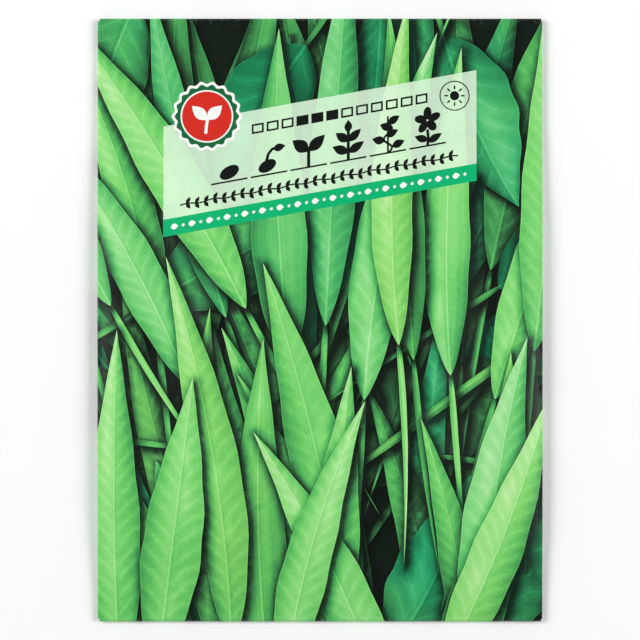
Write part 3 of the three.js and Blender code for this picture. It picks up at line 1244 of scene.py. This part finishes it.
def side_veins(leaf):
    """Thin light lines that slant from the midrib towards the tip, and the soft waves between them."""
    spacing = 2.5 + 0.27 * leaf.half_width
    slant = (leaf.along - VEIN_SLANT * abs(leaf.off) + VEIN_CURVE * leaf.off * leaf.off) / spacing
    one_side = leaf.off.step(-0.01, 0.01) * 0.45  # the two sides' veins don't meet
    wander = (paper.noise(spot, 160.0, 2.0) - 0.5) * VEIN_WANDER
    wave = ((slant + one_side + wander + leaf.style * 5) * 2 * math.pi).sine()
    lines = wave.step(0.94, 1.0) * VEIN_LIGHT * (1 - abs(leaf.share).step(0.5, 1.0))
    return lines + wave * 0.03 * abs(leaf.share).step(0.05, 0.4)


def ribs(leaf):
    """Fine lines along the whole leaf, as on a grass."""
    coarse, fine = (leaf.share * 17 + leaf.turn).sine(), (leaf.share * 43 + leaf.turn).sine()
    return coarse * 0.018 + fine * 0.012


def midrib(leaf):
    width = 0.2 + 0.03 * leaf.half_width - 0.22 * leaf.t
    pale = 1 - (abs(leaf.off) / width).step(0.5, 1.0)
    shaded = 1 - (abs(leaf.off) / (width * 3)).step(0.3, 1.0)
    return pale * MIDRIB_LIGHT - shaded * MIDRIB_SHADE


veined = leaf_here.style.step(0.4, 0.5)
lines = side_veins(leaf_here) * veined + ribs(leaf_here) * (1 - veined) + midrib(leaf_here)
print(len(paper_finish.node_tree.nodes), "nodes with the veins")


# %% Rounding, gloss and margin
MARGIN_LIGHT, GLOSS_LIGHT = 0.12, 0.13


def rounding(leaf):
    """Light and shade of a blade that is round, creased along its middle and a little twisted."""
    away = leaf.share - (3.0 * leaf.t + leaf.turn).sine() * 0.45
    crease = leaf.off.step(-0.25, 0.25) * 0.12 - 0.04
    gloss_patches = paper.noise(spot, 75.0, 1.0).step(0.42, 0.66)
    gloss = (1 - abs(away - 0.1) / 0.42).limited() * gloss_patches * GLOSS_LIGHT
    return 0.10 - 0.17 * away * away + crease * veined + gloss


is_blade = leaf_here.half_width.step(2.0, 3.0)  # a stem is too thin for veins
margin = (1 - (leaf_here.half - abs(leaf_here.off)).step(0.08, 0.36)) * MARGIN_LIGHT
lengthways = (leaf_here.t - 0.4) * 0.18
drawn = rounding(leaf_here) + lines * is_blade + margin + lengthways
leaf_light = leaf_here.tone + drawn * (0.35 + leaf_here.tone)
print(len(paper_finish.node_tree.nodes), "nodes with the rounding")

# %% The dark between the leaves, the mottle and the soft shade
SHADE_DEPTH = 0.74
is_leaf = leaf_here.tone.step(0.0, 0.02)
depths = 0.02 + paper.noise(spot, 90.0, 3.0) * 0.24
mottle = paper.noise(spot, 700.0, 4.0, 0.65) - 0.5
grain = paper.noise(spot, 1900.0, 2.0, 0.7) - 0.5
soft_patches = paper.noise(spot, 60.0, 2.0) - 0.5
texture = (0.24 * mottle + 0.16 * grain) * leaf_here.tone + 0.14 * soft_patches
unshaded = is_leaf * leaf_light + (1 - is_leaf) * depths + texture
lit = unshaded * (1 - SHADE_DEPTH * paper.attribute("shade")) * RAMP_SHARE
print(len(paper_finish.node_tree.nodes), "nodes with the mottle and the shade")

# %% An ink for each lightness
greens = paper.node("ValToRGB", {"stops": GREENS}, {"Fac": lit})
bluish_greens = paper.node("ValToRGB", {"stops": BLUISH_GREENS}, {"Fac": lit})
tint = leaf_here.tint + 0.9 * (paper.noise(spot, 42.0, 2.0) - 0.5)
cool = tint.step(0.35, 0.9) * (1 - leaf_here.tone.step(0.4, 0.75) * 0.8)
warm = (0 - tint).step(0.45, 1.0) * 0.16 * lit.step(0.2, 0.6)
picture = greens.blended(bluish_greens, cool).blended(WARM_GREEN, warm)
print(len(paper_finish.node_tree.nodes), "nodes with the greens")


# %% [markdown]
# ## Printed and bare paper
#
# The outside is coated paper, a little glossier than office paper, with flat inks over the picture. A
# plain gloss would look like plastic, so the ink is uneven, the surface has fine fibres and a slow
# waviness, and the coating is rubbed along the folds. The inside and the cut edges are bare paper:
# white, rough and faintly cloudy.

# %% Flat inks over the picture
THIN_INK = srgb(228, 230, 228)
ink_patches = paper.noise(spot, 200.0, 3.0).step(0.3, 0.8) * 0.35
flat_ink = paper.attribute("ink", "Color").blended(THIN_INK, ink_patches, "MULTIPLY")
printed = picture.blended(flat_ink, paper.attribute("ink", "Alpha"))
print(len(paper_finish.node_tree.nodes), "nodes with the flat inks")

# %% The printed paper's surface
RUBBED_PAPER, RUBBED_SHARE = srgb(214, 222, 205), 0.08
scuffs = paper.noise(spot, 1500.0, 3.0).step(0.56, 0.72)
rubbed = paper.attribute("near_fold").step(0.3, 1.0) * scuffs
coated = printed.blended(RUBBED_PAPER, rubbed * RUBBED_SHARE)
fibres = paper.noise(spot, 2600.0, 3.0, 0.6)
waviness = paper.noise(spot, 45.0, 2.0)
paper_heights = fibres * 0.35 + waviness * 3.0
paper_bump = paper.node("Bump", {}, {"Strength": 0.35, "Distance": 0.06 * MM, "Height": paper_heights})
roughness = 0.44 + 0.08 * (paper.noise(spot, 500.0, 2.0) - 0.5) + 0.16 * rubbed
feed(paper_shader, Base_Color=coated, Roughness=roughness, Normal=paper_bump)
print(len(paper_finish.node_tree.nodes), "nodes in the printed paper")


# %% Bare paper
def bare_paper():
    material, shader, start = new_material("bare paper", Specular_IOR_Level=0.3)
    place = start.node("TexCoord", {}, {}, "Object")
    cloud = start.noise(place, 350.0, 4.0, 0.6)
    whites = [(0.3, srgb(226, 224, 214)), (0.7, srgb(244, 243, 236))]
    colour = start.node("ValToRGB", {"stops": whites}, {"Fac": cloud})
    fibres = start.noise(place, 2200.0, 3.0, 0.65)
    bump = start.node("Bump", {}, {"Strength": 0.5, "Distance": 0.05 * MM, "Height": fibres})
    feed(shader, Base_Color=colour, Roughness=0.82 + 0.1 * (cloud - 0.5), Normal=bump)
    return material


sheet_mesh.materials.append(paper_finish)
sheet_mesh.materials.append(bare_paper())
print("sheet materials:", [m.name for m in sheet_mesh.materials])

# %% Dress the sheet
material_of_face = np.ones(total_faces, dtype=np.int32)
material_of_face[:front_faces] = 0
sheet_mesh.polygons.foreach_set("material_index", material_of_face)
smooth = np.ones(total_faces, dtype=bool)
smooth[rim_start:] = False
sheet_mesh.polygons.foreach_set("use_smooth", smooth)
corner_normals = np.vstack([normals, -normals])[face_corners]
first, second, third = np.vstack([outer, inner])[face_corners[rim_start:]].transpose(1, 0, 2)
rim_normals = np.cross(second - first, third - first)
rim_normals /= np.linalg.norm(rim_normals, axis=1, keepdims=True)
corner_normals[rim_start:] = rim_normals[:, None]
sheet_mesh.normals_split_custom_set(corner_normals.reshape(-1, 3).tolist())
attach(printed_packet, "root")
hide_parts("paper_packet")
print(int((material_of_face == 0).sum()), "faces are printed, the others bare")

# %% [markdown]
# ## The seeds
#
# A dry bean is an oval bent round its eye, with a smooth, creamy coat. A sphere whose points are moved
# by one formula gives it, where a sculpt would be no closer. Every seed uses the same mesh rule with
# its own small differences, and sits where its plain solid is in the frame.

# %% Make one seed
SEED_LENGTH, SEED_WIDTH, SEED_THICKNESS = 9.1, 6.5, 5.5
SEED_BEND = SEED_WIDTH / 12  # the ends lie this far to the hollow side, the middle as far from it
SEED_SEGMENTS, SEED_RINGS = 32, 20
PLUMPNESS = (0.96, 1.0)  # range of a seed's share of the full width and thickness
EYE_HALF_LENGTH, EYE_HALF_HEIGHT, EYE_DEPTH = 1.1, 0.6, 0.22  # of the hollow round the eye


def bean_mesh(name, draw):
    """A bean in its own frame: +X along it, +Y the hollow side that carries the eye, in metres."""
    mesh = bpy.data.meshes.new(name)
    shaped = bmesh.new()
    bmesh.ops.create_uvsphere(shaped, u_segments=SEED_SEGMENTS, v_segments=SEED_RINGS, radius=1.0)
    plump = draw.uniform(*PLUMPNESS)
    for vertex in shaped.verts:
        z, y, x = vertex.co
        along, high = x * SEED_LENGTH / 2, z * SEED_THICKNESS / 2
        across = y * (SEED_WIDTH / 2 - SEED_BEND) * plump + SEED_BEND * (2 * x * x - 1)
        away = math.hypot(along / EYE_HALF_LENGTH, high / EYE_HALF_HEIGHT)
        dent = EYE_DEPTH * math.exp(-(away**2)) if y > 0 else 0.0
        vertex.co = (along, across - dent, high * plump)
    bmesh.ops.recalc_face_normals(shaped, faces=shaped.faces)
    bmesh.ops.scale(shaped, vec=(MM, MM, MM), verts=shaped.verts)
    shaped.to_mesh(mesh)
    shaped.free()
    mesh.polygons.foreach_set("use_smooth", [True] * len(mesh.polygons))
    return mesh


print("a seed is", SEED_LENGTH, "by", SEED_WIDTH, "by", SEED_THICKNESS, "mm")


# %% Skin of the seeds
EYE_PAINT_HALF_HEIGHT = 0.45
EYE_PALE, EYE_RING = srgb(240, 230, 205), srgb(196, 160, 104)


def bean_skin():
    """A satin, creamy coat with an oval eye in a browner ring."""
    material, shader, start = new_material("bean skin", Coat_Weight=0.25, Coat_Roughness=0.2)
    place = start.node("TexCoord", {}, {}, "Object")
    x, y, z = place.axes()
    cloud = start.noise(place, 380.0, 4.0, 0.6)
    creams = [(0.3, srgb(226, 212, 180)), (0.7, srgb(243, 236, 216))]
    coat = start.node("ValToRGB", {"stops": creams}, {"Fac": cloud})
    along = x / (EYE_HALF_LENGTH * MM)
    high = z / (EYE_PAINT_HALF_HEIGHT * MM)
    away = (along * along + high * high) ** 0.5
    hollow_side = y.step(0.0, 0.5 * MM)
    eye = (1 - away.step(0.8, 1.0)) * hollow_side
    ring = (1 - away.step(1.1, 1.5)) * hollow_side
    colour = coat.blended(EYE_RING, ring * 0.5).blended(EYE_PALE, eye)
    pits = start.noise(place, 1800.0, 3.0, 0.6)
    bump = start.node("Bump", {}, {"Strength": 0.3, "Distance": 0.05 * MM, "Height": pits})
    feed(shader, Base_Color=colour, Roughness=0.34 + 0.1 * cloud, Normal=bump)
    return material


bean_finish = bean_skin()
print(len(bean_finish.node_tree.nodes), "nodes in the bean skin")

# %% Place the seeds
for name, (ends, along, hollow, middle) in seed_places.items():
    bean = bpy.data.objects.new("bean_" + name, bean_mesh("bean_" + name, random.Random(name)))
    bpy.context.collection.objects.link(bean)
    turn = Matrix((along, hollow, along.cross(hollow))).transposed().to_4x4()
    place = Vector((ends.x, ends.y, middle.z)) - hollow * SEED_BEND
    bean.matrix_world = Matrix.Translation(place * MM) @ turn
    bean.data.materials.append(bean_finish)
    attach(bean, "root")
    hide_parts(name)
print(len(seed_places), "beans placed, each with", len(bean.data.polygons), "faces")

# %% [markdown]
# ## The glue
#
# Three strips of glue hold the packet shut. Their shape could be made again, but nobody sees more of it
# than the frame already has, so they only get a finish: dried packet glue is a thin, slightly yellow
# film with streaks from the roller that spread it.


# %% Finish of the glue
def dried_glue():
    """A thin yellowish film with the streaks of the roller."""
    material, shader, start = new_material("dried glue", Coat_Weight=0.2, Coat_Roughness=0.3)
    place = start.node("TexCoord", {}, {}, "Object")
    stretched = start.node("Mapping", {}, {"Vector": place, "Scale": (1.0, 9.0, 1.0)})
    streaks = start.noise(stretched, 160.0, 4.0, 0.6)
    yellows = [(0.3, srgb(214, 198, 150)), (0.7, srgb(236, 228, 196))]
    colour = start.node("ValToRGB", {"stops": yellows}, {"Fac": streaks})
    bump = start.node("Bump", {}, {"Strength": 0.4, "Distance": 0.1 * MM, "Height": streaks})
    feed(shader, Base_Color=colour, Roughness=0.3 + 0.25 * streaks, Normal=bump)
    return material


glue_finish = dried_glue()
glue_nodes = [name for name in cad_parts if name.startswith("glue_")]
for name in glue_nodes:
    for material_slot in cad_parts[name].material_slots:
        material_slot.material = glue_finish
print("glue strips:", glue_nodes)

# %% [markdown]
# ## Floor, light and camera
#
# The packet is seen straight on, as on a copying stand: it lies on a pale floor, two large soft lights
# stand left and right at about 40 degrees so that the satin print doesn't mirror them, and the camera
# looks straight down through a long lens, which keeps the outline a true rectangle. One light from
# above would be simpler, but it would glare off the coating. The surroundings are white at the horizon
# and nearly black overhead for the same reason.

# %% Floor
FLOOR_HALF, FLOOR_DROP = 1.0, 0.1 * MM
floor_corners = [(x * FLOOR_HALF, y * FLOOR_HALF, 0) for x, y in ((-1, -1), (1, -1), (1, 1), (-1, 1))]
floor_mesh = bpy.data.meshes.new("floor")
floor_mesh.from_pydata(floor_corners, [], [(0, 1, 2, 3)])
floor = bpy.data.objects.new("floor", floor_mesh)
floor.location.z = -FLOOR_DROP
bpy.context.collection.objects.link(floor)
floor_finish, floor_shader, _ = new_material("pale floor", Roughness=0.9, Specular_IOR_Level=0.1)
floor_shader.inputs["Base Color"].default_value = (0.97, 0.97, 0.97, 1)
floor_mesh.materials.append(floor_finish)
print("floor", 2 * FLOOR_HALF, "m wide")


# %% Lights
def soft_light(name, place, size, power):
    data = bpy.data.lights.new(name, "AREA")
    data.shape, data.size, data.energy = "DISK", size, power
    light = bpy.data.objects.new(name, data)
    light.location = place
    light.rotation_euler = (-Vector(place)).to_track_quat("-Z", "Y").to_euler()
    bpy.context.collection.objects.link(light)


LIGHT_SIZE = 0.7
soft_light("left light", (-0.9, 0.3, 0.8), LIGHT_SIZE, 9.9)
soft_light("right light", (0.9, 0.1, 0.75), LIGHT_SIZE, 8.0)
print("lights:", [light.name for light in bpy.data.lights])

# %% Surroundings
HORIZON, ZENITH, FALL_OFF = 1.2, 0.03, 1.6
world = bpy.data.worlds.new("studio")
world.use_nodes = True
backdrop = world.node_tree.nodes["Background"]
sky = Wire(world.node_tree)
height = sky.node("TexCoord", {}, {}, "Generated").axes()[2]
brightness = ZENITH + (HORIZON - ZENITH) * (1 - height.limited()) ** FALL_OFF
backdrop.inputs["Color"].default_value = (1, 1, 1, 1)
world.node_tree.links.new(brightness.socket, backdrop.inputs["Strength"])
bpy.context.scene.world = world
bpy.context.scene.view_settings.view_transform = "Standard"
print("surroundings:", HORIZON, "at the horizon,", ZENITH, "overhead")

# %% Camera
LENS, SENSOR = 200.0, 36.0
PICTURE_DOTS, PACKET_DOTS = 640, 444.7  # widths of the whole picture and of the packet in it
VIEW_WIDTH = WIDTH * PICTURE_DOTS / PACKET_DOTS * MM
camera_data = bpy.data.cameras.new("camera")
camera_data.lens, camera_data.sensor_width = LENS, SENSOR
camera = bpy.data.objects.new("camera", camera_data)
edge_height = float(front_height(0, top.at)[0]) * MM  # the view is measured at the top edge's height
camera.location = (0, 0, edge_height + VIEW_WIDTH / 2 / (SENSOR / 2 / LENS))
bpy.context.collection.objects.link(camera)
bpy.context.scene.camera = camera
print(f"camera {camera.location.z:.3f} m above the floor")

# %% [markdown]
# ## The frame's box
#
# The dressed packet has to stay inside the frame's box.
